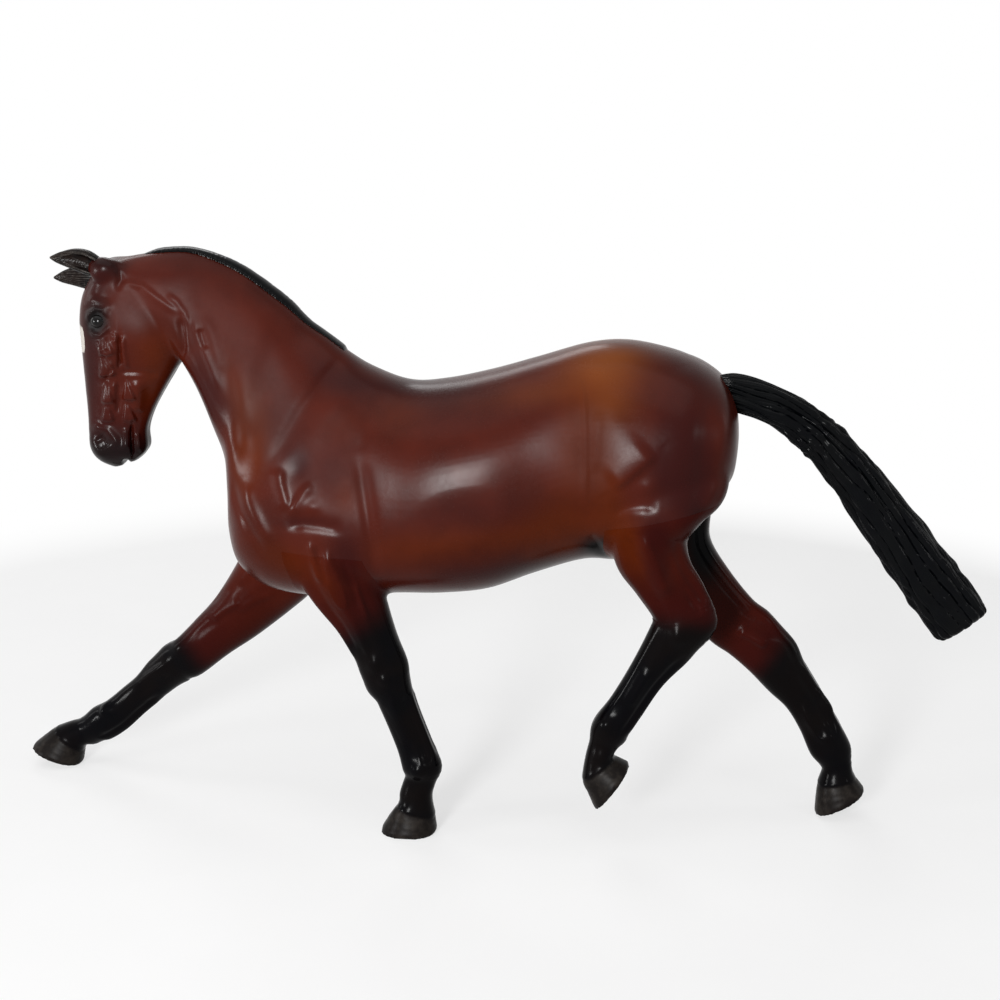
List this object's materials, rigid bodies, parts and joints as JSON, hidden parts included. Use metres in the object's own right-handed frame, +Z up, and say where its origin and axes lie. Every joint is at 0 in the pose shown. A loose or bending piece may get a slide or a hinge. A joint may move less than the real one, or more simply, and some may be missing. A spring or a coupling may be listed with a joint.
{
  "type": "toy horse figure",
  "caption": "Rigid plastic toy horse at an extended trot, hollow two-part body with separate legs, tail, mane and ears, stands on its own hooves.",
  "frame": {"origin": "on the ground, under the middle of the figure's bounding box", "axes": "+X from head to tail, +Y to the figure's right side, +Z up"},
  "size_m": [0.2704, 0.0542, 0.1575],
  "materials": {
    "bay_plastic": "airbrushed bay paint on rigid plastic, satin gloss",
    "leg_plastic": "black points fading up into bay, gloss",
    "ear_plastic": "dark brown, satin",
    "hair_plastic": "black, gloss"
  },
  "bodies": {
    "root": {"body_shell_left": "bay_plastic", "body_shell_right": "bay_plastic", "foreleg_left": "leg_plastic", "foreleg_right": "leg_plastic", "hindleg_left": "leg_plastic", "hindleg_right": "leg_plastic", "ear_left": "ear_plastic", "ear_right": "ear_plastic", "tail": "hair_plastic", "mane": "hair_plastic"}
  },
  "joints": []
}
